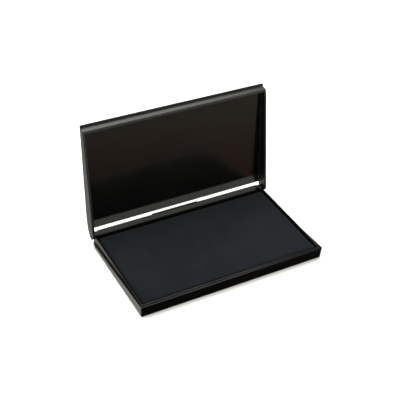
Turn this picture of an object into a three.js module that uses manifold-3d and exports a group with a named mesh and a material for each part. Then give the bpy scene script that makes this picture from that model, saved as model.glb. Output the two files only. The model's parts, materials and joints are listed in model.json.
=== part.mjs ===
// Hinged stamp pad: a black moulded tray that holds a cloth-covered ink pad, with a lid
// that swings on two short keyed pins and leans back a little past upright.
// Millimetres. X runs along the long side, -Y is the front, +Z is up.
// The origin is the centre of the tray's flat underside.

import * as THREE from "three";
import { mergeVertices } from "three/addons/utils/BufferGeometryUtils.js";
import Module from "manifold-3d";

// ---- case ----
const CASE_WIDTH = 170;
const BASE_DEPTH = 98;
const CASE_HEIGHT = 17.8;
const LID_OPEN_DEG = 97;

// ---- tray ----
const SKIRT_FRONT_HEIGHT = 11.0;
const SKIRT_SLOPE = 0.067;
const LEDGE = 2.2;
const TRAY_WALL_TOP = 10.9;
const TRAY_WALL = 1.1;
const TRAY_FLOOR = 2.0;
const TRAY_DRAFT = 0.4;
const REAR_LEDGE = 0.1;
const REAR_CORNER = 8.8;
const FOOT_INSET = 1.5;
const REAR_WALL_TOP = 12.3;
const REAR_SLOPE = { foot: 3.8, z: 6.45 };
const REAR_RIB = { x0: -27, x1: 17, height: 0.9 };

// ---- hinge ----
const HINGE_Y = 46.45;
const HINGE_Z = 10.4;
const LUG_INNER_X = 79;
const LUG_RADIUS = 2.45;
const LUG_FOOT_Z = 7.2;
const PIN_RADIUS = 1.2;
const PIN_INNER_X = 79.6;
const PIN_OUTER_X = 84.4;
const PIN_SEAT_GAP = 0.05;
const PIN_RUN_GAP = 0.15;
const KEY_HALF_WIDTH = 0.5;
const KEY_REACH = 2.3;
const KEY_INNER_X = 83.3;
const KEY_OUTER_X = 84.2;
const KEY_GAP = 0.06;
const KEY_ANGLE_DEG = 178;

// ---- lid ----
const LID_WALL = 1.9;
const LID_SEAT_GAP = 0.2;
const PANEL_THICKNESS = 1.6;
const LIP_REACH = 3.76;
const LIP_THICKNESS = 1.25;
const POCKET_DEPTH = 1.45;
const GUIDE_BOSS = { y: 38.3, z: 7.2, radius: 1.15, height: 0.22 };
const GATE_MARK = { x: -3, y: -41.5, radius: 0.8, height: 0.25 };

// ---- pad ----
const PAD_LENGTH = 161;
const PAD_FRONT_Y = -44.8;
const PAD_REAR_Y = 41.8;
const PAD_TOP = 10.1;
const CLOTH_THICKNESS = 0.5;
const CLOTH_FOLD_WIDTH = 8;
const CLOTH_EDGE_ROUND = 1.2;
const BOARD_THICKNESS = 1.0;
const FILM_THICKNESS = 0.5;
const LAYER_GAP = 0.1;

const HALF_W = CASE_WIDTH / 2;
const FRONT_Y = -BASE_DEPTH / 2;
const REAR_Y = BASE_DEPTH / 2;
const WALL_FRONT_Y = FRONT_Y + LEDGE;
const WALL_REAR_Y = REAR_Y - REAR_LEDGE;
const WALL_HALF_X = HALF_W - LEDGE;
const OPEN_RAD = THREE.MathUtils.degToRad(LID_OPEN_DEG);

// ---- booleans ----
const wasm = await Module();
wasm.setup();

function toSolid(geometry) {
  const plain = new THREE.BufferGeometry();
  const source = geometry.index ? geometry.toNonIndexed() : geometry;
  plain.setAttribute("position", source.getAttribute("position").clone());
  const merged = mergeVertices(plain, 1e-4);
  return new wasm.Manifold(new wasm.Mesh({
    numProp: 3,
    vertProperties: new Float32Array(merged.getAttribute("position").array),
    triVerts: new Uint32Array(merged.index.array),
  }));
}

function toGeometry(solid) {
  const mesh = solid.getMesh();
  const positions = new Float32Array(mesh.numVert * 3);
  for (let i = 0; i < mesh.numVert; i += 1) {
    for (let k = 0; k < 3; k += 1) {
      positions[i * 3 + k] = mesh.vertProperties[i * mesh.numProp + k];
    }
  }
  const geometry = new THREE.BufferGeometry();
  geometry.setAttribute("position", new THREE.BufferAttribute(positions, 3));
  geometry.setIndex(new THREE.BufferAttribute(new Uint32Array(mesh.triVerts), 1));
  const flat = geometry.toNonIndexed();
  flat.computeVertexNormals();
  return flat;
}

// ---- shape makers ----

// A (y, z) outline carried along X from x0 to x1.
function prismX(outline, x0, x1) {
  const shape = new THREE.Shape(outline.map(([y, z]) => new THREE.Vector2(y, z)));
  const geometry = new THREE.ExtrudeGeometry(shape, { depth: x1 - x0, bevelEnabled: false });
  const turn = new THREE.Matrix4().set(
    0, 0, 1, x0,
    1, 0, 0, 0,
    0, 1, 0, 0,
    0, 0, 0, 1,
  );
  geometry.applyMatrix4(turn);
  return toSolid(geometry);
}

function mirrorSides(make) {
  const right = make(1);
  const left = make(-1);
  return right.add(left);
}

function sideSpan(side, inner, outer) {
  return side > 0 ? [inner, outer] : [-outer, -inner];
}

function circleOutline(cy, cz, radius, segments = 40) {
  const points = [];
  for (let i = 0; i < segments; i += 1) {
    const a = (i / segments) * Math.PI * 2;
    points.push([cy + radius * Math.cos(a), cz + radius * Math.sin(a)]);
  }
  return points;
}

// One rounded rectangle of a loft, listed anticlockwise seen from above.
// r rounds the front corners and rear, where given, the two rear ones.
function roundedRing({ x, y0, y1, r, rear = r, z }, perCorner = 8) {
  const ring = [];
  const centres = [
    [x - rear, y1 - rear, rear, 0],
    [-x + rear, y1 - rear, rear, 1],
    [-x + r, y0 + r, r, 2],
    [x - r, y0 + r, r, 3],
  ];
  for (const [cx, cy, radius, quarter] of centres) {
    for (let i = 0; i <= perCorner; i += 1) {
      const a = (quarter + i / perCorner) * Math.PI / 2;
      ring.push([cx + radius * Math.cos(a), cy + radius * Math.sin(a), z]);
    }
  }
  return ring;
}

// A solid through a stack of rounded rectangles, lowest first.
function loft(levels) {
  const rings = levels.map((level) => roundedRing(level));
  const count = rings[0].length;
  const positions = rings.flat(2);
  const index = [];
  for (let k = 0; k + 1 < rings.length; k += 1) {
    for (let i = 0; i < count; i += 1) {
      const j = (i + 1) % count;
      const a = k * count + i;
      const b = k * count + j;
      const c = (k + 1) * count + j;
      const d = (k + 1) * count + i;
      index.push(a, b, c, a, c, d);
    }
  }
  const top = (rings.length - 1) * count;
  for (let i = 1; i + 1 < count; i += 1) {
    index.push(0, i + 1, i);
    index.push(top, top + i, top + i + 1);
  }
  const geometry = new THREE.BufferGeometry();
  geometry.setAttribute("position", new THREE.Float32BufferAttribute(positions, 3));
  geometry.setIndex(index);
  return toSolid(geometry);
}

// ---- tray ----

function skirtTop(y) {
  return SKIRT_FRONT_HEIGHT - SKIRT_SLOPE * (y - FRONT_Y);
}

function baseLevel(z, inset) {
  return {
    x: HALF_W - inset,
    y0: FRONT_Y + inset,
    y1: REAR_Y - inset,
    r: 1.4,
    rear: REAR_CORNER - inset,
    z,
  };
}

function wallLevel(z) {
  return {
    x: WALL_HALF_X,
    y0: WALL_FRONT_Y,
    y1: WALL_REAR_Y,
    r: 1.4,
    rear: REAR_CORNER - LEDGE,
    z,
  };
}

function cavityLevel(z, grow) {
  const wall = TRAY_WALL + TRAY_DRAFT - grow;
  return {
    x: WALL_HALF_X - wall,
    y0: WALL_FRONT_Y + wall,
    y1: WALL_REAR_Y - wall,
    r: 1.6,
    rear: REAR_CORNER - LEDGE - wall,
    z,
  };
}

function hingeLug(side) {
  const outline = [
    [HINGE_Y - LUG_RADIUS, LUG_FOOT_Z],
    [HINGE_Y + LUG_RADIUS, LUG_FOOT_Z],
  ];
  const steps = 20;
  for (let i = 0; i <= steps; i += 1) {
    const a = (i / steps) * Math.PI;
    outline.push([HINGE_Y + LUG_RADIUS * Math.cos(a), HINGE_Z + LUG_RADIUS * Math.sin(a)]);
  }
  const [x0, x1] = sideSpan(side, LUG_INNER_X, WALL_HALF_X);
  return prismX(outline, x0, x1);
}

// The rear wall is taller than the rim, and its inner side slopes down towards the pad.
function rearWall() {
  const block = prismX([
    [WALL_REAR_Y - REAR_SLOPE.foot, TRAY_FLOOR - 0.5],
    [WALL_REAR_Y, TRAY_FLOOR - 0.5],
    [WALL_REAR_Y, REAR_WALL_TOP],
    [WALL_REAR_Y - TRAY_WALL, REAR_WALL_TOP],
    [WALL_REAR_Y - REAR_SLOPE.foot, REAR_SLOPE.z],
  ], -LUG_INNER_X - 0.2, LUG_INNER_X + 0.2);
  return block.intersect(loft([wallLevel(1), wallLevel(REAR_WALL_TOP + 1)]));
}

function makeTray() {
  const shell = loft([
    baseLevel(0, FOOT_INSET),
    baseLevel(0.12, FOOT_INSET * 0.78),
    baseLevel(0.4, FOOT_INSET * 0.58),
    baseLevel(0.9, FOOT_INSET * 0.42),
    baseLevel(1.6, FOOT_INSET * 0.33),
    baseLevel(SKIRT_FRONT_HEIGHT, 0),
    baseLevel(SKIRT_FRONT_HEIGHT + 1, 0),
  ]);
  const wedge = prismX([
    [FRONT_Y - 5, -1],
    [REAR_Y + 5, -1],
    [REAR_Y + 5, skirtTop(REAR_Y + 5)],
    [FRONT_Y - 5, skirtTop(FRONT_Y - 5)],
  ], -HALF_W - 5, HALF_W + 5);
  const wall = loft([wallLevel(1), wallLevel(TRAY_WALL_TOP)]);
  const cavity = loft([
    cavityLevel(TRAY_FLOOR, 0),
    cavityLevel(TRAY_WALL_TOP, TRAY_DRAFT),
    cavityLevel(TRAY_WALL_TOP + 1, TRAY_DRAFT),
  ]);
  const rib = prismX([
    [WALL_REAR_Y - TRAY_WALL, REAR_WALL_TOP - 1],
    [WALL_REAR_Y, REAR_WALL_TOP - 1],
    [WALL_REAR_Y, REAR_WALL_TOP + REAR_RIB.height],
    [WALL_REAR_Y - TRAY_WALL, REAR_WALL_TOP + REAR_RIB.height],
  ], REAR_RIB.x0, REAR_RIB.x1);
  const bores = mirrorSides((side) => {
    const [x0, x1] = sideSpan(side, PIN_INNER_X - 0.1, WALL_HALF_X + 1);
    return prismX(circleOutline(HINGE_Y, HINGE_Z, PIN_RADIUS + PIN_SEAT_GAP), x0, x1);
  });
  return shell
    .intersect(wedge)
    .add(wall)
    .subtract(cavity)
    .add(rearWall())
    .add(rib)
    .add(mirrorSides(hingeLug))
    .subtract(bores);
}

// ---- hinge pins, with a key that stops the lid ----

function keyOutline(angleDeg, halfWidth, reach) {
  const a = THREE.MathUtils.degToRad(angleDeg);
  const along = [Math.cos(a), Math.sin(a)];
  const across = [-Math.sin(a), Math.cos(a)];
  const corner = (u, v) => [
    HINGE_Y + u * along[0] + v * across[0],
    HINGE_Z + u * along[1] + v * across[1],
  ];
  return [
    corner(0, -halfWidth),
    corner(reach, -halfWidth),
    corner(reach, halfWidth),
    corner(0, halfWidth),
  ];
}

function makePin(side) {
  const [p0, p1] = sideSpan(side, PIN_INNER_X, PIN_OUTER_X);
  const [k0, k1] = sideSpan(side, KEY_INNER_X, KEY_OUTER_X);
  const shaft = prismX(circleOutline(HINGE_Y, HINGE_Z, PIN_RADIUS), p0, p1);
  const key = prismX(keyOutline(KEY_ANGLE_DEG, KEY_HALF_WIDTH, KEY_REACH), k0, k1);
  return shaft.add(key);
}

// The pocket in the lid's ear that the pin and its key turn in, lid closed.
function pinPocket(side) {
  const inner = HALF_W - LID_WALL;
  const [x0, x1] = sideSpan(side, inner - 0.5, inner + POCKET_DEPTH);
  const reach = KEY_REACH + PIN_RUN_GAP;
  const half = KEY_HALF_WIDTH + KEY_GAP;
  const sector = [[HINGE_Y, HINGE_Z]];
  const steps = 24;
  for (let i = 0; i <= steps; i += 1) {
    const a = THREE.MathUtils.degToRad(KEY_ANGLE_DEG + (i / steps) * LID_OPEN_DEG);
    sector.push([HINGE_Y + reach * Math.cos(a), HINGE_Z + reach * Math.sin(a)]);
  }
  return prismX(circleOutline(HINGE_Y, HINGE_Z, PIN_RADIUS + PIN_RUN_GAP), x0, x1)
    .add(prismX(sector, x0, x1))
    .add(prismX(keyOutline(KEY_ANGLE_DEG, half, reach), x0, x1))
    .add(prismX(keyOutline(KEY_ANGLE_DEG + LID_OPEN_DEG, half, reach), x0, x1));
}

// ---- lid, drawn closed and then swung open ----

function lidRim(y) {
  return skirtTop(y) + LID_SEAT_GAP;
}

// Rear end of the side walls: under the hinge, round its back and up to the top.
const EAR_OUTLINE = [
  [45.4, lidRim(45.4)],
  [46.3, 5.2],
  [47.2, 5.9],
  [48.5, 7.2],
  [49.5, 8.5],
  [50.0, 9.5],
  [50.1, 10.4],
  [49.8, 11.3],
  [49.2, 12.2],
  [48.3, 13.0],
  [47.2, 13.8],
  [45.6, 14.7],
  [43.8, 15.5],
  [41.6, 16.2],
  [39.0, 16.8],
  [36.0, 17.25],
  [32.5, 17.6],
  [28.5, 17.76],
  [25.0, CASE_HEIGHT],
];

function makeLidClosed() {
  const lipUnder = CASE_HEIGHT - LIP_THICKNESS;
  const lipFront = FRONT_Y - LIP_REACH;
  const side = [
    [FRONT_Y, lidRim(FRONT_Y)],
    ...EAR_OUTLINE,
    [lipFront + 0.5, CASE_HEIGHT],
    [lipFront + 0.15, CASE_HEIGHT - 0.15],
    [lipFront, CASE_HEIGHT - 0.5],
    [lipFront, lipUnder + 0.4],
    [lipFront + 0.12, lipUnder + 0.12],
    [lipFront + 0.4, lipUnder],
    [FRONT_Y, lipUnder],
  ];
  const block = prismX(side, -HALF_W, HALF_W);
  const envelopeLevel = (z, inset) => ({
    x: HALF_W - inset,
    y0: lipFront + inset * 0.3,
    y1: REAR_Y + 6,
    r: 1.2,
    z,
  });
  const envelope = loft([
    envelopeLevel(0, 0),
    envelopeLevel(CASE_HEIGHT - 1.2, 0.25),
    envelopeLevel(CASE_HEIGHT - 0.7, 0.36),
    envelopeLevel(CASE_HEIGHT - 0.3, 0.6),
    envelopeLevel(CASE_HEIGHT - 0.08, 0.95),
    envelopeLevel(CASE_HEIGHT, 1.4),
    envelopeLevel(CASE_HEIGHT + 1, 1.4),
  ]);
  const under = CASE_HEIGHT - PANEL_THICKNESS;
  const hollow = prismX([
    [FRONT_Y + LID_WALL, -5],
    [60, -5],
    [60, 22],
    [50, 22],
    [42.0, 14.3],
    [36.1, under],
    [FRONT_Y + LID_WALL, under],
  ], -HALF_W + LID_WALL, HALF_W - LID_WALL);
  const bosses = mirrorSides((s) => {
    const inner = HALF_W - LID_WALL;
    const [x0, x1] = sideSpan(s, inner - GUIDE_BOSS.height, inner + 0.4);
    return prismX(circleOutline(GUIDE_BOSS.y, GUIDE_BOSS.z, GUIDE_BOSS.radius, 28), x0, x1);
  });
  const gate = new THREE.CylinderGeometry(GATE_MARK.radius, GATE_MARK.radius, 1, 24);
  gate.rotateX(Math.PI / 2);
  gate.translate(GATE_MARK.x, GATE_MARK.y, under + 0.5 - GATE_MARK.height);
  return block
    .intersect(envelope)
    .subtract(hollow)
    .add(bosses)
    .add(toSolid(gate))
    .subtract(mirrorSides(pinPocket));
}

function swingOpen(geometry) {
  geometry.translate(0, -HINGE_Y, -HINGE_Z);
  geometry.rotateX(-OPEN_RAD);
  geometry.translate(0, HINGE_Y, HINGE_Z);
  return geometry;
}

// ---- pad: glue film, board, felt, and a cloth folded round them and under the board ----

function padBlock(inset, z0, z1, radius) {
  const level = (z) => ({
    x: PAD_LENGTH / 2 - inset,
    y0: PAD_FRONT_Y + inset,
    y1: PAD_REAR_Y - inset,
    r: radius,
    z,
  });
  return loft([level(z0), level(z1)]);
}

function makeCloth() {
  const level = (z, inset) => ({
    x: PAD_LENGTH / 2 - inset,
    y0: PAD_FRONT_Y + inset,
    y1: PAD_REAR_Y - inset,
    r: 3.0,
    z,
  });
  const levels = [level(TRAY_FLOOR, 0.3), level(TRAY_FLOOR + 0.3, 0)];
  const steps = 5;
  for (let i = 0; i <= steps; i += 1) {
    const a = (i / steps) * Math.PI / 2;
    const inset = CLOTH_EDGE_ROUND * (1 - Math.cos(a));
    levels.push(level(PAD_TOP - CLOTH_EDGE_ROUND * (1 - Math.sin(a)), inset));
  }
  const under = PAD_TOP - CLOTH_THICKNESS;
  const foldTop = TRAY_FLOOR + CLOTH_THICKNESS;
  const inside = padBlock(CLOTH_THICKNESS, foldTop, under - 0.6, 2.5);
  const crown = padBlock(CLOTH_THICKNESS + 0.6, foldTop, under, 2.2);
  const window = padBlock(CLOTH_FOLD_WIDTH, TRAY_FLOOR - 1, foldTop + 0.5, 1);
  return loft(levels).subtract(inside).subtract(crown).subtract(window);
}

function makeFelt() {
  const inset = CLOTH_THICKNESS + LAYER_GAP;
  const low = TRAY_FLOOR + FILM_THICKNESS + BOARD_THICKNESS;
  const under = PAD_TOP - CLOTH_THICKNESS;
  return padBlock(inset, low, under - 0.7, 2.4).add(padBlock(inset + 0.65, low, under, 2.0));
}

function makeBoard() {
  const inset = CLOTH_THICKNESS + LAYER_GAP;
  const low = TRAY_FLOOR + FILM_THICKNESS;
  return padBlock(inset, low, low + BOARD_THICKNESS, 2.4);
}

function makeFilm() {
  const inset = CLOTH_FOLD_WIDTH + 1;
  return padBlock(inset, TRAY_FLOOR, TRAY_FLOOR + FILM_THICKNESS, 1);
}

// ---- assembly ----

const assembly = new THREE.Group();
assembly.name = "stamp_pad";

function addPiece(name, geometry, color, roughness) {
  const material = new THREE.MeshStandardMaterial({ color, roughness, metalness: 0 });
  material.name = `${name}_material`;
  const mesh = new THREE.Mesh(geometry, material);
  mesh.name = name;
  assembly.add(mesh);
}

addPiece("base_tray", toGeometry(makeTray()), 0x15151a, 0.35);
addPiece("lid_shell", swingOpen(toGeometry(makeLidClosed())), 0x15151a, 0.35);
addPiece("hinge_pin_right", toGeometry(makePin(1)), 0x1c1c20, 0.4);
addPiece("hinge_pin_left", toGeometry(makePin(-1)), 0x1c1c20, 0.4);
addPiece("adhesive_film", toGeometry(makeFilm()), 0xc9c3ae, 0.6);
addPiece("backing_board", toGeometry(makeBoard()), 0x8d8474, 0.9);
addPiece("ink_felt", toGeometry(makeFelt()), 0x17191c, 0.95);
addPiece("ink_cloth", toGeometry(makeCloth()), 0x1e2226, 0.9);

export default assembly;
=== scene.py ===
import json
import math

import bmesh
import bpy
from mathutils import Matrix, Vector


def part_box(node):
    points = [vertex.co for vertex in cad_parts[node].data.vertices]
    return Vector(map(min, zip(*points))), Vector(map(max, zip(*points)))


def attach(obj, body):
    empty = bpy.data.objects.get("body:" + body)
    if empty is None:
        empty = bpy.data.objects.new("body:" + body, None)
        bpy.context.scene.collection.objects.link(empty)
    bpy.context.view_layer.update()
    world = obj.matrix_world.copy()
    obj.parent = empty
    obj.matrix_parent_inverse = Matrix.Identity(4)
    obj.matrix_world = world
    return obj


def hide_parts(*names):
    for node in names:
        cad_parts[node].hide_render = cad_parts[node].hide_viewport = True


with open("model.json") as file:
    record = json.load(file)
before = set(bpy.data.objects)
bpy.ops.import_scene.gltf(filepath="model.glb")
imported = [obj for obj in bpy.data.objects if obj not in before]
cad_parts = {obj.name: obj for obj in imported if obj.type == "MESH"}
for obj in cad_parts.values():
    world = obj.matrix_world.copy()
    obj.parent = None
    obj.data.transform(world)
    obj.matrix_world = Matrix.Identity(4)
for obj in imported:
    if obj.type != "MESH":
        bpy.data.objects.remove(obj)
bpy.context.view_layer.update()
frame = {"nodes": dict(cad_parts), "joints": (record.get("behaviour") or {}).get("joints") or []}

# A hinged stamp pad in the open pose of the photo. Sizes are in millimetres and the lid is drawn closed,
# then swung open: X runs along the long side, -Y is the front and +Z is up.
MM = 0.001


def box_mm(node):
    return [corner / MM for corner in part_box(node)]


TRAY_LOW, TRAY_HIGH = box_mm("base_tray")
CLOTH_LOW, CLOTH_HIGH = box_mm("ink_cloth")
FELT_LOW, FELT_HIGH = box_mm("ink_felt")
HINGE = frame["joints"][0]
HINGE_Y, HINGE_Z = (place / MM for place in HINGE["pos_m"][1:])
LID_OPEN = math.radians(HINGE["range_deg"][1])

# ---- case sizes that the tray, lid and pad share with the CAD ----
HALF_W, FRONT_Y, REAR_Y = TRAY_HIGH.x, TRAY_LOW.y, -TRAY_LOW.y
CASE_HEIGHT = 17.8
SKIRT_FRONT_HEIGHT = 11.0
SKIRT_SLOPE = 0.067
LEDGE = 2.2
REAR_LEDGE = 0.1
RIM_TOP = 10.9
SIDE_LEAN = 0.08  # how far a side wall leans in, per mm of height above the ledge
TRAY_WALL = 1.1
TRAY_FLOOR = 2.0
TRAY_DRAFT = 0.4
CORNER = 1.4
REAR_CORNER = 8.8
FOOT_INSET = 1.5
FOOT_HEIGHT = 1.6
SKIRT_LEAN = 0.5
TRAY_INSET = 0.7  # the skirt is this much narrower than the lid, on each side
RIB_X = (-27, 17)
RIB_HEIGHT = 0.9
REAR_WALL_TOP = 12.3
REAR_SLOPE = {"foot": 3.8, "z": 6.45, "half_x": 79.2}
LUG_X = (79, 82.8)
LUG_RADIUS = 2.45
LUG_FOOT_Z = 7.2
BORE_INNER_X = 79.5
BORE_RADIUS = 1.25
LID_WALL = 1.9
LID_SEAT_GAP = 0.2
PANEL_THICKNESS = 1.6
LIP_REACH = 3.76
LIP_THICKNESS = 1.25
LIP_ROOT = 1.35  # the grip under the thumb lip slopes from this far in front of the lid's wall ...
GRIP_GAP = 0.8  # ... to this far above its rim
LID_LEAN = 0.27
LIP_CORNER = 1.2
POCKET_DEPTH = 1.45
POCKET_RADIUS = 1.35
POCKET_REACH = 2.45
KEY_HALF_WIDTH = 0.56
KEY_ANGLE = 178
GUIDE_BOSS = {"y": 38.3, "z": 7.2, "radius": 1.15, "height": 0.22}
GATE_MARK = {"x": -3, "y": -41.5, "radius": 0.8, "height": 0.25}
WALL_HALF_X = HALF_W - LEDGE
WALL_FRONT_Y = FRONT_Y + LEDGE
WALL_REAR_Y = REAR_Y - REAR_LEDGE
PANEL_UNDER = CASE_HEIGHT - PANEL_THICKNESS

# ---- edge roundings ----
SKIRT_ROUND = 0.4
RIM_ROUND = 0.3
WALL_FILLET = 0.6
CAVITY_ROUND = 0.5
LID_EDGE_ROUND = 0.45
LID_RIM_ROUND = 0.2
ARC_STEPS = 4

# ---- pad ----
SIDE_BULGE = 0.1  # room that the swollen cloth needs inside its CAD box
HALF_PAD_X = CLOTH_HIGH.x - SIDE_BULGE
HALF_PAD_Y = (CLOTH_HIGH.y - CLOTH_LOW.y) / 2 - SIDE_BULGE
PAD_MID_Y = (CLOTH_HIGH.y + CLOTH_LOW.y) / 2
PAD_CORNER = 3.0
PAD_STEP = 2.0
PAD_PRESSURE = 4
FOLD_WIDTH = 8
CLOTH_THICKNESS = 0.4
CLOTH_EDGE_ROUND = 1.2
CLOTH_SIDE_ROWS = (7.4, 6.2, 5.0, 3.8, 2.8)
CLOTH_RISE = 0.35
FELT_EDGE_ROUND = 0.7
FELT_RISE = 0.2


# ---------------------------------------------------------------- mesh tools

def mesh_object(name, points, faces):
    mesh = bpy.data.meshes.new(name)
    mesh.from_pydata([Vector(p) * MM for p in points], [], faces)
    obj = bpy.data.objects.new(name, mesh)
    bpy.context.scene.collection.objects.link(obj)
    return obj


def apply_modifiers(obj):
    depsgraph = bpy.context.evaluated_depsgraph_get()
    depsgraph.update()
    mesh = bpy.data.meshes.new_from_object(obj.evaluated_get(depsgraph))
    obj.modifiers.clear()
    obj.data = mesh


def boolean(target, tool, operation):
    modifier = target.modifiers.new("boolean", "BOOLEAN")
    modifier.operation = operation
    modifier.solver = "EXACT"
    modifier.object = tool
    apply_modifiers(target)
    bpy.data.objects.remove(tool)
    return target


def smooth_shading(obj, crease_deg=32):
    obj.data.shade_smooth()
    obj.data.set_sharp_from_angle(angle=math.radians(crease_deg))
    normals = obj.modifiers.new("normals", "WEIGHTED_NORMAL")
    normals.keep_sharp = True
    normals.weight = 80


def outline_ring(half_x, y0, y1, front_r, rear_r, inset, height, per_corner=8):
    """A loop round a rounded rectangle, drawn in by inset. height is a number or a function of y."""
    corners = [
        (half_x - rear_r, y1 - rear_r, rear_r),
        (-half_x + rear_r, y1 - rear_r, rear_r),
        (-half_x + front_r, y0 + front_r, front_r),
        (half_x - front_r, y0 + front_r, front_r),
    ]
    ring = []
    for quarter, (centre_x, centre_y, radius) in enumerate(corners):
        reach = max(radius - inset, 0.05)
        shift = radius - inset - reach
        for i in range(per_corner + 1):
            angle = (quarter + i / per_corner) * math.pi / 2
            x = centre_x + reach * math.cos(angle) + math.copysign(shift, centre_x)
            y = centre_y + reach * math.sin(angle) + math.copysign(shift, centre_y)
            ring.append((x, y, height(y) if callable(height) else height))
    return ring


def loft(name, rings):
    """A closed solid through rings of equal length, lowest first."""
    count = len(rings[0])
    points = [point for ring in rings for point in ring]
    faces = [tuple(reversed(range(count)))]
    for k in range(len(rings) - 1):
        for i in range(count):
            j = (i + 1) % count
            faces.append((k * count + i, k * count + j, (k + 1) * count + j, (k + 1) * count + i))
    top = (len(rings) - 1) * count
    faces.append(tuple(range(top, top + count)))
    return mesh_object(name, points, faces)


def prism_x(name, outline, x0, x1):
    """A (y, z) outline, anticlockwise seen from +X, carried along X."""
    count = len(outline)
    points = [(x, y, z) for x in (x0, x1) for y, z in outline]
    faces = [tuple(reversed(range(count))), tuple(range(count, 2 * count))]
    for i in range(count):
        j = (i + 1) % count
        faces.append((i, j, count + j, count + i))
    return mesh_object(name, points, faces)


def round_edges(obj, radius, crease_deg=35, segments=ARC_STEPS, where=None):
    """Rounds every edge sharper than crease_deg, or only those whose middle where(middle) allows."""
    mesh = bmesh.new()
    mesh.from_mesh(obj.data)
    bmesh.ops.remove_doubles(mesh, verts=mesh.verts, dist=1e-7)
    layer = mesh.edges.layers.float.new("bevel_weight_edge")
    for edge in mesh.edges:
        if len(edge.link_faces) != 2 or edge.calc_face_angle(0) < math.radians(crease_deg):
            continue
        middle = (edge.verts[0].co + edge.verts[1].co) / (2 * MM)
        if where is None or where(middle):
            edge[layer] = 1
    mesh.to_mesh(obj.data)
    mesh.free()
    bevel = obj.modifiers.new("edges", "BEVEL")
    bevel.limit_method = "WEIGHT"
    bevel.width = radius * MM
    bevel.segments = segments
    bevel.use_clamp_overlap = False
    apply_modifiers(obj)
    return obj


def circle_outline(centre_y, centre_z, radius, steps=32):
    angles = [i / steps * 2 * math.pi for i in range(steps)]
    return [(centre_y + radius * math.cos(a), centre_z + radius * math.sin(a)) for a in angles]


def smooth_curve(points, steps=4):
    """Catmull-Rom curve through the points."""
    ends = [points[0], *points, points[-1]]
    curve = []
    for k in range(len(points) - 1):
        p0, p1, p2, p3 = (Vector(p) for p in ends[k:k + 4])
        for i in range(steps):
            t = i / steps
            point = 0.5 * (2 * p1 + (p2 - p0) * t + (2 * p0 - 5 * p1 + 4 * p2 - p3) * t * t
                           + (3 * p1 - p0 - 3 * p2 + p3) * t ** 3)
            curve.append(tuple(point))
    return curve + [tuple(points[-1])]


def both_sides(inner, outer):
    """The x ranges of a pair of features, right one first."""
    return [(inner, outer), (-outer, -inner)]


# ---------------------------------------------------------------- tray

def skirt_top(y):
    """The ledge's height, which falls towards the rear."""
    return SKIRT_FRONT_HEIGHT - SKIRT_SLOPE * (y - FRONT_Y)


def arc(steps=ARC_STEPS):
    """Angles from 0 to a right angle."""
    return [i / steps * math.pi / 2 for i in range(steps + 1)]


def skirt_solid():
    def ring(inset, height):
        return outline_ring(HALF_W - TRAY_INSET, FRONT_Y, REAR_Y, CORNER, REAR_CORNER, inset, height)

    foot_depth = FOOT_INSET - SKIRT_LEAN
    rings = [
        ring(FOOT_INSET - foot_depth * math.sin(a), FOOT_HEIGHT * (1 - math.cos(a)))
        for a in arc(6)
    ]
    for a in arc():
        inset = SKIRT_ROUND * (1 - math.cos(a))
        drop = SKIRT_ROUND * (1 - math.sin(a))
        rings.append(ring(inset, lambda y, drop=drop: skirt_top(y) - drop))
    return loft("tray", rings)


def wall_ring(inset, height):
    """A loop at the tray's inner wall, whose sides lean inwards above the ledge."""
    ring = outline_ring(
        WALL_HALF_X, WALL_FRONT_Y, WALL_REAR_Y, CORNER, REAR_CORNER - LEDGE, inset, height)
    lean = [SIDE_LEAN * max(0, z - skirt_top(y)) for x, y, z in ring]
    return [(x - math.copysign(shift, x), y, z) for (x, y, z), shift in zip(ring, lean)]


def wall_foot(a):
    """A loop of the fillet between the ledge and the wall."""
    def height(y):
        return min(skirt_top(y) + WALL_FILLET * (1 - math.cos(a)), RIM_TOP - RIM_ROUND - 0.1 + 0.05 * a)

    return wall_ring(-WALL_FILLET * (1 - math.sin(a)), height)


def wall_solid():
    rings = [wall_ring(-WALL_FILLET, 1)] + [wall_foot(a) for a in arc()]
    for a in arc():
        rings.append(wall_ring(RIM_ROUND * (1 - math.cos(a)), RIM_TOP - RIM_ROUND * (1 - math.sin(a))))
    return loft("wall", rings)


def cavity_solid():
    rings = []
    low = TRAY_WALL + TRAY_DRAFT
    for a in arc():
        inset = low + CAVITY_ROUND * (1 - math.sin(a))
        rings.append(wall_ring(inset, TRAY_FLOOR + CAVITY_ROUND * (1 - math.cos(a))))
    for a in arc():
        inset = TRAY_WALL - RIM_ROUND * (1 - math.cos(a))
        rings.append(wall_ring(inset, RIM_TOP - RIM_ROUND * (1 - math.sin(a))))
    rings.append(wall_ring(TRAY_WALL - RIM_ROUND, RIM_TOP + 1))
    return loft("cavity", rings)


def rib_solid():
    outline = [
        (WALL_REAR_Y - TRAY_WALL, REAR_WALL_TOP - 1),
        (WALL_REAR_Y, REAR_WALL_TOP - 1),
        (WALL_REAR_Y, REAR_WALL_TOP + RIB_HEIGHT),
        (WALL_REAR_Y - TRAY_WALL, REAR_WALL_TOP + RIB_HEIGHT),
    ]
    return round_edges(prism_x("rib", outline, *RIB_X), RIM_ROUND)


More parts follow.
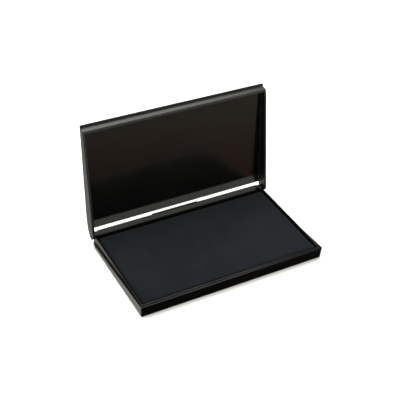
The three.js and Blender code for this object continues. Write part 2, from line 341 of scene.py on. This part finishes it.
def rear_wall_solid():
    """The rear wall is taller than the rim, and its inner side slopes down towards the pad."""
    foot = WALL_REAR_Y - REAR_SLOPE["foot"]
    front_round = WALL_REAR_Y - TRAY_WALL + RIM_ROUND
    outline = [(foot, TRAY_FLOOR - 0.5), (WALL_REAR_Y, TRAY_FLOOR - 0.5)]
    for a in arc():
        drop = RIM_ROUND * (1 - math.sin(a))
        outline.append((WALL_REAR_Y - RIM_ROUND * (1 - math.cos(a)), REAR_WALL_TOP - drop))
    for a in reversed(arc()):
        drop = RIM_ROUND * (1 - math.sin(a))
        outline.append((front_round - RIM_ROUND * math.cos(a), REAR_WALL_TOP - drop))
    outline.append((foot, REAR_SLOPE["z"]))
    wall = prism_x("rear_wall", outline, -REAR_SLOPE["half_x"], REAR_SLOPE["half_x"])
    bound = loft("bound", [wall_ring(0, 1), wall_ring(0, REAR_WALL_TOP + 1)])
    boolean(wall, bound, "INTERSECT")
    return wall


def lug_solid(x_range):
    outline = [(HINGE_Y - LUG_RADIUS, LUG_FOOT_Z), (HINGE_Y + LUG_RADIUS, LUG_FOOT_Z)]
    for i in range(25):
        a = i / 24 * math.pi
        outline.append((HINGE_Y + LUG_RADIUS * math.cos(a), HINGE_Z + LUG_RADIUS * math.sin(a)))
    return round_edges(prism_x("lug", outline, *x_range), 0.2)


def make_tray():
    tray = skirt_solid()
    boolean(tray, wall_solid(), "UNION")
    boolean(tray, cavity_solid(), "DIFFERENCE")
    boolean(tray, rear_wall_solid(), "UNION")
    boolean(tray, rib_solid(), "UNION")
    for x_range in both_sides(*LUG_X):
        boolean(tray, lug_solid(x_range), "UNION")
    bore = circle_outline(HINGE_Y, HINGE_Z, BORE_RADIUS)
    for x_range in both_sides(BORE_INNER_X, WALL_HALF_X + 1):
        boolean(tray, prism_x("bore", bore, *x_range), "DIFFERENCE")
    tray.name = "tray"
    smooth_shading(tray)
    return tray


# ---------------------------------------------------------------- lid

def lid_rim(y):
    return skirt_top(y) + LID_SEAT_GAP


def lid_outline():
    lip_front = FRONT_Y - LIP_REACH
    lip_under = CASE_HEIGHT - LIP_THICKNESS
    ear = smooth_curve([
        (46.3, 5.2), (48.5, 7.2), (50.0, 9.5), (49.8, 11.3), (48.3, 13.0), (45.6, 14.7),
        (41.6, 16.2), (36.0, 17.25), (30.5, 17.7), (25.0, CASE_HEIGHT),
    ])
    return [
        (FRONT_Y, lid_rim(FRONT_Y) + GRIP_GAP), (FRONT_Y + 8, lid_rim(FRONT_Y + 8)),
        (45.4, lid_rim(45.4)), *ear,
        (lip_front, CASE_HEIGHT), (lip_front, lip_under), (FRONT_Y - LIP_ROOT, lip_under),
    ]


def lid_envelope():
    """The lid's outline from above, with sides that lean in a little towards the top."""
    def ring(lean, height):
        front = FRONT_Y - LIP_REACH + 0.3 * lean
        return outline_ring(HALF_W - lean, front, REAR_Y + 6, LIP_CORNER, LIP_CORNER, 0, height)

    return loft("envelope", [ring(0, 0), ring(LID_LEAN, CASE_HEIGHT), ring(LID_LEAN, CASE_HEIGHT + 2)])


def lid_hollow():
    outline = [
        (FRONT_Y + LID_WALL, -5), (60, -5), (60, 22), (50, 22), (42.0, 14.3), (36.1, PANEL_UNDER),
        (FRONT_Y + LID_WALL, PANEL_UNDER),
    ]
    half = HALF_W - LID_WALL

    def inside_corner(middle):
        return -4 < middle.z < 18 and middle.y < 41

    return round_edges(prism_x("hollow", outline, -half, half), 0.5, where=inside_corner, crease_deg=10)


def pin_pocket(x_range):
    """A round blind hole with a wider sector, in which the pin's key turns as far as the lid opens."""
    outline = []
    steps = 72
    margin = math.degrees(math.asin(KEY_HALF_WIDTH / POCKET_REACH))
    for i in range(steps):
        angle = 360 * i / steps
        past_key = (angle - KEY_ANGLE + margin) % 360
        wide = past_key <= math.degrees(LID_OPEN) + 2 * margin
        reach = POCKET_REACH if wide else POCKET_RADIUS
        turn = math.radians(angle)
        outline.append((HINGE_Y + reach * math.cos(turn), HINGE_Z + reach * math.sin(turn)))
    return prism_x("pocket", outline, *x_range)


def round_boss(radius, height, steps=32):
    """A low disc with a rounded rim, standing on the origin along +Z."""
    rings = [(radius, -0.4)]
    rings += [(radius - 0.4 * height * (1 - math.cos(a)), height * (0.6 + 0.4 * math.sin(a))) for a in arc()]
    loops = [
        [(r * math.cos(2 * math.pi * i / steps), r * math.sin(2 * math.pi * i / steps), z)
         for i in range(steps)]
        for r, z in rings
    ]
    return loft("boss", loops)


def make_lid():
    lid = prism_x("lid", lid_outline(), -HALF_W - 5, HALF_W + 5)
    boolean(lid, lid_envelope(), "INTERSECT")
    round_edges(lid, LID_EDGE_ROUND)
    boolean(lid, lid_hollow(), "DIFFERENCE")
    round_edges(lid, LID_RIM_ROUND, crease_deg=40, segments=3)
    inner = HALF_W - LID_WALL
    for side in (1, -1):
        boss = round_boss(GUIDE_BOSS["radius"], GUIDE_BOSS["height"])
        boss.data.transform(Matrix.Rotation(-side * math.pi / 2, 4, "Y"))
        boss.data.transform(Matrix.Translation(
            Vector((side * inner, GUIDE_BOSS["y"], GUIDE_BOSS["z"])) * MM))
        boolean(lid, boss, "UNION")
    gate = round_boss(GATE_MARK["radius"], GATE_MARK["height"])
    gate.data.transform(Matrix.Rotation(math.pi, 4, "X"))
    gate.data.transform(Matrix.Translation(Vector((GATE_MARK["x"], GATE_MARK["y"], PANEL_UNDER)) * MM))
    boolean(lid, gate, "UNION")
    for x_range in both_sides(inner - 0.5, inner + POCKET_DEPTH):
        boolean(lid, pin_pocket(x_range), "DIFFERENCE")
    for face in lid.data.polygons:
        middle = face.center / MM
        within = abs(middle.x) < inner - 0.1 and middle.y > FRONT_Y + LID_WALL - 0.02
        face.material_index = int(within and middle.z < PANEL_UNDER + 0.02)
    swing = Matrix.Translation((0, HINGE_Y * MM, HINGE_Z * MM))
    lid.data.transform(swing @ Matrix.Rotation(-LID_OPEN, 4, "X") @ swing.inverted())
    smooth_shading(lid)
    return lid


# ---------------------------------------------------------------- pad: felt, and the cloth stretched over it

def corner_to_arc(a, b):
    """Moves a place in a unit square corner into a quarter disc."""
    return a * math.sqrt(1 - b * b / 2), b * math.sqrt(1 - a * a / 2)


def spaced(half, radius, step=PAD_STEP, corner_steps=3):
    """Places across a side: even steps along its straight part and finer ones over the corners."""
    straight = half - radius
    count = 2 * round(straight / step)
    middle = [straight * (2 * i / count - 1) for i in range(count + 1)]
    corner = [straight + radius * (i + 1) / corner_steps for i in range(corner_steps)]
    return [-c for c in reversed(corner)] + middle + corner


def pad_mesh(name, half_x, half_y, top, radius, skirt, close=False):
    """A grid over the pad's top, and a band round it through skirt's (inset, radius, height) rows.

    The grid's edge is the first row's neighbour, so both share one set of points round the pad.
    """
    places_x = spaced(half_x, radius)
    places_y = spaced(half_y, radius)
    straight = Vector((half_x - radius, half_y - radius))
    points, index = [], {}

    def place(x, y):
        over = Vector((abs(x) - straight.x, abs(y) - straight.y))
        if over.x > 0 and over.y > 0:
            a, b = corner_to_arc(over.x / radius, over.y / radius)
            x = math.copysign(straight.x + radius * a, x)
            y = math.copysign(straight.y + radius * b, y)
        return x, y

    for i, x in enumerate(places_x):
        for j, y in enumerate(places_y):
            index[i, j] = len(points)
            points.append((*place(x, y), top))
    last_i, last_j = len(places_x) - 1, len(places_y) - 1
    faces = [
        (index[i, j], index[i + 1, j], index[i + 1, j + 1], index[i, j + 1])
        for i in range(last_i) for j in range(last_j)
    ]
    rim = [(i, 0) for i in range(last_i)] + [(last_i, j) for j in range(last_j)]
    rim += [(i, last_j) for i in range(last_i, 0, -1)] + [(0, j) for j in range(last_j, 0, -1)]
    loop = [index[key] for key in rim]
    edge = [Vector(points[k][:2]) for k in loop]
    for inset, row_radius, height in skirt:
        core_x = HALF_PAD_X - inset - row_radius
        core_y = HALF_PAD_Y - inset - row_radius
        row = []
        for p in edge:
            held = Vector((
                max(-straight.x, min(straight.x, p.x)),
                max(-straight.y, min(straight.y, p.y)),
            ))
            out = (p - held) / radius
            core = Vector((held.x / straight.x * core_x, held.y / straight.y * core_y))
            row.append(len(points))
            points.append((*(core + out * row_radius), height))
        count = len(row)
        faces += [(loop[k], row[k], row[(k + 1) % count], loop[(k + 1) % count]) for k in range(count)]
        loop = row
    if close:
        faces.append(tuple(reversed(loop)))
    centred = [(x, y + PAD_MID_Y, z) for x, y, z in points]
    return mesh_object(name, centred, faces)


def swell(obj, held_below, most, frames=12, pressure=PAD_PRESSURE):
    """Blows a soft piece out a little by cloth simulation, and lets no point move further than most."""
    start = [v.co.copy() for v in obj.data.vertices]
    pinned = obj.vertex_groups.new(name="held")
    for vertex in obj.data.vertices:
        if vertex.co.z / MM < held_below:
            pinned.add([vertex.index], 1, "REPLACE")
    modifier = obj.modifiers.new("cloth", "CLOTH")
    cloth = modifier.settings
    cloth.vertex_group_mass = "held"
    cloth.use_pressure = True
    cloth.uniform_pressure_force = pressure
    cloth.effector_weights.gravity = 0
    cloth.mass = 0.3
    cloth.tension_stiffness = 15
    cloth.compression_stiffness = 15
    cloth.shear_stiffness = 5
    cloth.bending_stiffness = 0.5
    cloth.quality = 5
    modifier.collision_settings.use_collision = False
    scene = bpy.context.scene
    modifier.point_cache.frame_start, modifier.point_cache.frame_end = 1, frames
    for step in range(1, frames + 1):
        scene.frame_set(step)
    apply_modifiers(obj)
    scene.frame_set(1)
    for vertex, origin in zip(obj.data.vertices, start):
        move = vertex.co - origin
        far = move.length / MM
        if far > 1e-6:
            vertex.co = origin + move * (most * math.tanh(far / most) / far)
    obj.vertex_groups.clear()


def edge_rows(inset, radius, edge_round, top, angles_deg):
    """A pad's rounded top edge, as (inset, radius, height) rows for pad_mesh."""
    rows = []
    for angle in angles_deg:
        a = math.radians(angle)
        shift = edge_round * (1 - math.cos(a))
        rows.append((inset + shift, radius - shift, top - edge_round * (1 - math.sin(a))))
    return rows


def make_cloth():
    """The cover: over the top, down the sides and folded in under the board."""
    top = CLOTH_HIGH.z - CLOTH_RISE
    low = CLOTH_LOW.z + 0.03
    rows = edge_rows(0, PAD_CORNER, CLOTH_EDGE_ROUND, top, (67.5, 45, 22.5, 0))
    rows += [(0, PAD_CORNER, z) for z in CLOTH_SIDE_ROWS]
    rows += [(0.1, PAD_CORNER - 0.1, low + 0.12), (0.35, PAD_CORNER - 0.35, low)]
    rows += [(FOLD_WIDTH * t, PAD_CORNER - 2 * t, low) for t in (0.35, 0.7, 1)]
    cloth = pad_mesh(
        "ink_cover", HALF_PAD_X - CLOTH_EDGE_ROUND, HALF_PAD_Y - CLOTH_EDGE_ROUND, top,
        PAD_CORNER - CLOTH_EDGE_ROUND, rows)
    swell(cloth, held_below=6.5, most=CLOTH_RISE)
    subdivide = cloth.modifiers.new("smooth", "SUBSURF")
    subdivide.levels = subdivide.render_levels = 1
    thick = cloth.modifiers.new("thickness", "SOLIDIFY")
    thick.thickness = CLOTH_THICKNESS * MM
    thick.offset = -1
    apply_modifiers(cloth)
    cloth.data.shade_smooth()
    return cloth


def make_felt():
    inset = HALF_PAD_X - FELT_HIGH.x
    high, low = FELT_HIGH.z - FELT_RISE - 0.05, FELT_LOW.z + 0.02
    radius = PAD_CORNER - inset
    rows = edge_rows(inset, radius, FELT_EDGE_ROUND, high, (60, 30, 0))
    rows += [(inset, radius, low + (high - low) * t) for t in (0.65, 0.35)]
    rows += [(inset, radius, low + 0.3), (inset + 0.2, radius - 0.2, low)]
    felt = pad_mesh(
        "felt_core", FELT_HIGH.x - FELT_EDGE_ROUND, HALF_PAD_Y - inset - FELT_EDGE_ROUND, high,
        radius - FELT_EDGE_ROUND, rows, close=True)
    swell(felt, held_below=FELT_HIGH.z - 2, most=FELT_RISE)
    felt.data.shade_smooth()
    felt.data.set_sharp_from_angle(angle=math.radians(40))
    return felt


# ---------------------------------------------------------------- camera, light and floor

CAMERA_AZIMUTH = math.radians(-31.466)
CAMERA_ELEVATION = math.radians(37.278)
CAMERA_ROLL = math.radians(4.366)
CAMERA_DISTANCE = 0.748307
CAMERA_TARGET = Vector((0.006624, 0.026375, 0.033154))
CAMERA_LENS = 79.76


def make_camera():
    back = Vector((
        math.sin(CAMERA_AZIMUTH) * math.cos(CAMERA_ELEVATION),
        -math.cos(CAMERA_AZIMUTH) * math.cos(CAMERA_ELEVATION),
        math.sin(CAMERA_ELEVATION),
    ))
    right = Vector((0, 0, 1)).cross(back).normalized()
    up = back.cross(right)
    rolled = Matrix.Rotation(CAMERA_ROLL, 3, back)
    axes = Matrix((rolled @ right, rolled @ up, back)).transposed()
    data = bpy.data.cameras.new("camera")
    data.sensor_width = 36
    data.lens = CAMERA_LENS
    camera = bpy.data.objects.new("camera", data)
    camera.matrix_world = Matrix.Translation(CAMERA_TARGET + back * CAMERA_DISTANCE) @ axes.to_4x4()
    bpy.context.scene.collection.objects.link(camera)
    bpy.context.scene.camera = camera


def area_light(name, place, size, power, aim=(0, 0, 0.02)):
    data = bpy.data.lights.new(name, "AREA")
    data.shape = "RECTANGLE"
    data.size, data.size_y = size
    data.energy = power
    light = bpy.data.objects.new(name, data)
    light.location = place
    light.rotation_euler = (Vector(aim) - Vector(place)).to_track_quat("-Z", "Y").to_euler()
    bpy.context.scene.collection.objects.link(light)
    return light


def make_floor():
    bpy.ops.mesh.primitive_plane_add(size=8, location=(0, 0, -0.00005))
    floor = bpy.context.object
    floor.name = "floor"
    material = bpy.data.materials.new("floor_paper")
    material.use_nodes = True
    shader = material.node_tree.nodes["Principled BSDF"]
    shader.inputs["Base Color"].default_value = (0.9, 0.9, 0.9, 1)
    shader.inputs["Roughness"].default_value = 0.9
    shader.inputs["Specular IOR Level"].default_value = 0
    floor.data.materials.append(material)
    floor.visible_glossy = False
    return floor


def make_world():
    """White studio: bright all round, but dim above and behind the lid.

    The floor isn't in the reflections, so the lower half of the world stands for it there: black
    close by, then dark red, then grey, and pale to the rear left.
    """
    world = bpy.data.worlds.new("studio")
    world.use_nodes = True
    tree = world.node_tree
    toward = add_node(tree, "ShaderNodeTexCoord").outputs["Generated"]
    height = add_node(tree, "ShaderNodeSeparateXYZ", {0: toward}).outputs["Z"]

    def facing(direction, low, high):
        inputs = {0: toward, 1: Vector(direction).normalized()}
        along = add_node(tree, "ShaderNodeVectorMath", inputs, operation="DOT_PRODUCT").outputs["Value"]
        return remap(tree, along, low, high)

    near = remap(tree, height, -0.56, -0.4)
    far = remap(tree, height, -0.41, -0.31)
    foreground = blend_colours(tree, near, (0.008, 0.006, 0.005), (0.24, 0.045, 0.035))
    foreground = blend_colours(tree, far, foreground, (0.46, 0.45, 0.37))
    low = blend_colours(tree, facing((-0.52, 0.85, 0), 0.0, 0.5), foreground, (0.72, 0.72, 0.66))
    everywhere = blend_colours(tree, remap(tree, height, -0.26, 0.06), low, (1, 1, 0.9))
    dim = maths(tree, "MULTIPLY", facing((0.3, 0.7, 0.45), 0.3, 0.85), remap(tree, height, 0.08, 0.3))
    lit = blend_colours(tree, dim, everywhere, (0.12, 0.12, 0.12))
    tree.links.new(lit, tree.nodes["Background"].inputs["Color"])
    bpy.context.scene.world = world


# ---------------------------------------------------------------- materials

def add_node(tree, kind, inputs=None, **settings):
    """A new node. An input's value is a number, a colour or another node's output."""
    made = tree.nodes.new(kind)
    for key, value in settings.items():
        setattr(made, key, value)
    for key, value in (inputs or {}).items():
        if isinstance(value, bpy.types.NodeSocket):
            tree.links.new(value, made.inputs[key])
        else:
            made.inputs[key].default_value = value
    return made


def new_material(name, **shader_inputs):
    material = bpy.data.materials.new(name)
    material.use_nodes = True
    tree = material.node_tree
    shader = tree.nodes["Principled BSDF"]
    for key, value in shader_inputs.items():
        shader.inputs[key.replace("_", " ")].default_value = value
    place = add_node(tree, "ShaderNodeTexCoord").outputs["Object"]
    return material, tree, shader, place


def noise(tree, place, scale, detail=2, stretch=(1, 1, 1), roughness=0.5):
    """Grey noise from 0 to 1 with blobs about a third of 1/scale metres wide."""
    if stretch != (1, 1, 1):
        place = add_node(tree, "ShaderNodeMapping", {"Vector": place, "Scale": stretch}).outputs["Vector"]
    inputs = {"Vector": place, "Scale": scale, "Detail": detail, "Roughness": roughness}
    return add_node(tree, "ShaderNodeTexNoise", inputs).outputs["Fac"]


def remap(tree, value, low, high, to_low=0, to_high=1):
    inputs = {"Value": value, "From Min": low, "From Max": high, "To Min": to_low, "To Max": to_high}
    return add_node(tree, "ShaderNodeMapRange", inputs, interpolation_type="SMOOTHSTEP").outputs["Result"]


def maths(tree, operation, a, b):
    return add_node(tree, "ShaderNodeMath", {0: a, 1: b}, operation=operation).outputs["Value"]


def blend_colours(tree, factor, a, b):
    made = add_node(tree, "ShaderNodeMix", {0: factor}, data_type="RGBA")
    for socket, colour in ((made.inputs[6], a), (made.inputs[7], b)):
        if isinstance(colour, bpy.types.NodeSocket):
            tree.links.new(colour, socket)
        else:
            socket.default_value = (*colour, 1)
    return made.outputs[2]


def bump(tree, height, depth, under=None):
    inputs = {"Height": height, "Strength": 1, "Distance": depth}
    if under is not None:
        inputs["Normal"] = under
    return add_node(tree, "ShaderNodeBump", inputs).outputs["Normal"]


def rubbed_and_highlit_edges(tree, place, radius):
    """1 along convex and concave edges, broken up along their length: the mask for rubbed wear and for a
    painted edge highlight.
    """
    soft = add_node(tree, "ShaderNodeBevel", {"Radius": radius}, samples=6).outputs["Normal"]
    true = add_node(tree, "ShaderNodeNewGeometry").outputs["Normal"]
    inputs = {0: soft, 1: true}
    along = add_node(tree, "ShaderNodeVectorMath", inputs, operation="DOT_PRODUCT").outputs["Value"]
    edge = remap(tree, along, 0.99, 0.86)
    patchy = remap(tree, noise(tree, place, 110, 3), 0.35, 0.62, 0.25, 1)
    return maths(tree, "MULTIPLY", edge, patchy)


PLASTIC_BLACKS = ((0.0011, 0.0011, 0.0009), (0.0022, 0.0020, 0.0017))


def moulded_plastic(name, grain_depth, rough_low, rough_high, lift=1, edge_wear_and_highlight=0.4):
    """Black moulded plastic: a fine tool grain, faint flow and sink, and edges painted a little lighter,
    partly as rubbed wear and partly as a painted edge highlight.

    lift multiplies the blacks, and the last argument is how strongly the edges are lightened, as rubbing and
    as a painted highlight.
    """
    material, tree, shader, place = new_material(name, Specular_IOR_Level=0.5)
    mottle = noise(tree, place, 16, 4)
    flow = noise(tree, place, 7, 3, stretch=(0.35, 2.4, 2.4))
    grain = noise(tree, place, 2400, 3, roughness=0.65)
    darker, lighter = (tuple(lift * part for part in tone) for tone in PLASTIC_BLACKS)
    black = blend_colours(tree, remap(tree, mottle, 0.3, 0.7), darker, lighter)
    edges = rubbed_and_highlit_edges(tree, place, 0.00025)
    # Convex and concave edges blended towards grey: partly rubbed wear, partly a painted edge highlight.
    rubbed_and_lit_black = blend_colours(tree, maths(tree, "MULTIPLY", edges, edge_wear_and_highlight), black, (0.045, 0.0435, 0.039))
    tree.links.new(rubbed_and_lit_black, shader.inputs["Base Color"])
    smear = remap(tree, maths(tree, "ADD", mottle, flow), 0.7, 1.3, rough_low, rough_high)
    speckle = maths(tree, "MULTIPLY_ADD", grain, 0.06)
    tree.links.new(smear, speckle.node.inputs[2])
    polished = maths(tree, "SUBTRACT", speckle, maths(tree, "MULTIPLY", edges, 0.08))
    tree.links.new(polished, shader.inputs["Roughness"])
    sink = bump(tree, flow, 0.00035)
    tree.links.new(bump(tree, grain, grain_depth, under=sink), shader.inputs["Normal"])
    return material


def threads(tree, place, axis, pitch):
    inputs = {"Vector": place, "Scale": 2 * math.pi / (20 * pitch), "Distortion": 0}
    return add_node(
        tree, "ShaderNodeTexWave", inputs, wave_type="BANDS", bands_direction=axis).outputs["Fac"]


def inked_weave(name, pitch):
    """Fine plain-weave cloth soaked with blue-black ink."""
    material, tree, shader, place = new_material(name, Specular_IOR_Level=0.1, Sheen_Weight=0.04)
    wander = add_node(tree, "ShaderNodeTexNoise", {"Vector": place, "Scale": 260, "Detail": 1})
    shift = add_node(
        tree, "ShaderNodeVectorMath", {0: wander.outputs["Color"], 1: (0.5, 0.5, 0.5)},
        operation="SUBTRACT").outputs["Vector"]
    slight = add_node(
        tree, "ShaderNodeVectorMath", {0: shift, "Scale": 0.35 * pitch}, operation="SCALE").outputs["Vector"]
    uneven = add_node(
        tree, "ShaderNodeVectorMath", {0: place, 1: slight}, operation="ADD").outputs["Vector"]
    warp, weft = threads(tree, uneven, "X", pitch), threads(tree, uneven, "Y", pitch)
    over = add_node(tree, "ShaderNodeTexChecker", {"Vector": uneven, "Scale": 1 / pitch}).outputs["Fac"]
    height = add_node(tree, "ShaderNodeMix", {0: over, 2: warp, 3: weft}).outputs[0]
    soak = noise(tree, place, 34, 4)
    fibre = noise(tree, place, 3200, 2, roughness=0.7)
    wetness = remap(tree, soak, 0.3, 0.72)
    ink = blend_colours(tree, wetness, (0.0019, 0.0036, 0.0056), (0.0026, 0.0044, 0.0066))
    fuzz = blend_colours(tree, remap(tree, fibre, 0.55, 0.8, 0, 0.5), ink, (0.035, 0.039, 0.042))
    gap = blend_colours(tree, remap(tree, height, 0.35, 0.05, 0, 0.7), fuzz, (0.004, 0.005, 0.006))
    tree.links.new(gap, shader.inputs["Base Color"])
    tree.links.new(remap(tree, soak, 0.3, 0.7, 0.92, 0.74), shader.inputs["Roughness"])
    hills = bump(tree, soak, 0.0006)
    weave = bump(tree, height, 0.00007, under=hills)
    tree.links.new(bump(tree, fibre, 0.00003, under=weave), shader.inputs["Normal"])
    return material


def inked_felt(name):
    """Dense felt: short matted hairs, soaked unevenly."""
    material, tree, shader, place = new_material(name, Specular_IOR_Level=0.15, Sheen_Weight=0.1)
    fibre = noise(tree, place, 900, 5, stretch=(1, 1, 0.35), roughness=0.7)
    clumps = noise(tree, place, 120, 3)
    ink = blend_colours(tree, remap(tree, clumps, 0.3, 0.7), (0.009, 0.011, 0.014), (0.02, 0.023, 0.027))
    hairs = blend_colours(tree, remap(tree, fibre, 0.5, 0.75, 0, 0.6), ink, (0.05, 0.052, 0.056))
    tree.links.new(hairs, shader.inputs["Base Color"])
    tree.links.new(remap(tree, clumps, 0.3, 0.7, 0.98, 0.84), shader.inputs["Roughness"])
    tree.links.new(bump(tree, fibre, 0.0003), shader.inputs["Normal"])
    return material


def pressed_board(name):
    """Grey pressed board: paper fibres, darker flecks and layered cut edges."""
    material, tree, shader, place = new_material(name, Specular_IOR_Level=0.2)
    fibre = noise(tree, place, 420, 5, stretch=(0.3, 1, 1), roughness=0.7)
    flecks = noise(tree, place, 700, 1)
    layers = noise(tree, place, 60, 2, stretch=(0.2, 0.2, 60))
    pulp = blend_colours(tree, remap(tree, fibre, 0.3, 0.7), (0.30, 0.27, 0.215), (0.46, 0.42, 0.35))
    layered = blend_colours(tree, remap(tree, layers, 0.4, 0.65, 0, 0.4), pulp, (0.25, 0.225, 0.18))
    specked = blend_colours(tree, remap(tree, flecks, 0.72, 0.8, 0, 0.7), layered, (0.08, 0.07, 0.055))
    tree.links.new(specked, shader.inputs["Base Color"])
    tree.links.new(remap(tree, fibre, 0.3, 0.7, 0.95, 0.8), shader.inputs["Roughness"])
    tree.links.new(bump(tree, fibre, 0.00012), shader.inputs["Normal"])
    return material


def glue_film(name):
    """Pale tacky film with small bubbles and a smeared gloss."""
    material, tree, shader, place = new_material(name, Specular_IOR_Level=0.4)
    smear = noise(tree, place, 40, 4, stretch=(0.4, 1, 1))
    bubbles = add_node(tree, "ShaderNodeTexVoronoi", {"Vector": place, "Scale": 450}).outputs["Distance"]
    pits = remap(tree, bubbles, 0.32, 0.08)
    tone = blend_colours(tree, remap(tree, smear, 0.3, 0.7), (0.60, 0.55, 0.41), (0.76, 0.72, 0.60))
    spotted = blend_colours(tree, maths(tree, "MULTIPLY", pits, 0.35), tone, (0.42, 0.38, 0.27))
    tree.links.new(spotted, shader.inputs["Base Color"])
    tree.links.new(remap(tree, smear, 0.3, 0.7, 0.3, 0.55), shader.inputs["Roughness"])
    tree.links.new(bump(tree, pits, 0.0001), shader.inputs["Normal"])
    return material


def soften_node(node, width, crease_deg=40):
    """Small roundings on a CAD node that stays, by modifiers alone."""
    obj = frame["nodes"][node]
    weld = obj.modifiers.new("weld", "WELD")
    weld.merge_threshold = 1e-6
    bevel = obj.modifiers.new("edges", "BEVEL")
    bevel.limit_method = "ANGLE"
    bevel.angle_limit = math.radians(crease_deg)
    bevel.width = width * MM
    bevel.segments = 2
    normals = obj.modifiers.new("normals", "WEIGHTED_NORMAL")
    normals.keep_sharp = True


def paint(obj, *materials):
    """Gives obj these materials, and keeps the faces' own material numbers on a new mesh."""
    if obj.data.materials:
        obj.data.materials.clear()
    for material in materials:
        obj.data.materials.append(material)


# ---------------------------------------------------------------- assembly

make_camera()
make_world()
make_floor()
area_light("softbox", (0, 0.45, 1.3), (1.5, 0.9), 26)
area_light("left", (-1.2, -0.1, 0.8), (1.0, 0.8), 10)
bpy.context.scene.view_settings.view_transform = "Standard"

# The case and lid plastics lighten their edges partly as wear and partly as a painted highlight.
case_plastic = moulded_plastic("case_plastic", 0.000006, 0.07, 0.11, lift=1.4, edge_wear_and_highlight=0.6)
lid_outside = moulded_plastic("lid_plastic", 0.000014, 0.3, 0.36)
# The lid's inside is the lid's own plastic with its blacks darkened to 0.6 of the outside's, which is
# painted shade. Its lower roughness is a glossier finish.
lid_inside_shaded = moulded_plastic("lid_plastic_inside_painted_shade", 0.000006, 0.12, 0.18, lift=0.6)
pin_plastic = moulded_plastic("pin_plastic", 0.000012, 0.3, 0.42)

for side in ("right", "left"):
    soften_node(f"hinge_pin_{side}", 0.12)
    paint(frame["nodes"][f"hinge_pin_{side}"], pin_plastic)
soften_node("backing_board", 0.1)
paint(frame["nodes"]["backing_board"], pressed_board("pressed_board"))
soften_node("adhesive_film", 0.08)
paint(frame["nodes"]["adhesive_film"], glue_film("glue_film"))

tray = make_tray()
paint(tray, case_plastic)
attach(tray, "base")
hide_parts("base_tray")
lid = make_lid()
paint(lid, lid_outside, lid_inside_shaded)
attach(lid, "lid")
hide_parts("lid_shell")

cloth = make_cloth()
paint(cloth, inked_weave("inked_weave", 0.00045))
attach(cloth, "base")
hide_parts("ink_cloth")
felt = make_felt()
paint(felt, inked_felt("inked_felt"))
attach(felt, "base")
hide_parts("ink_felt")
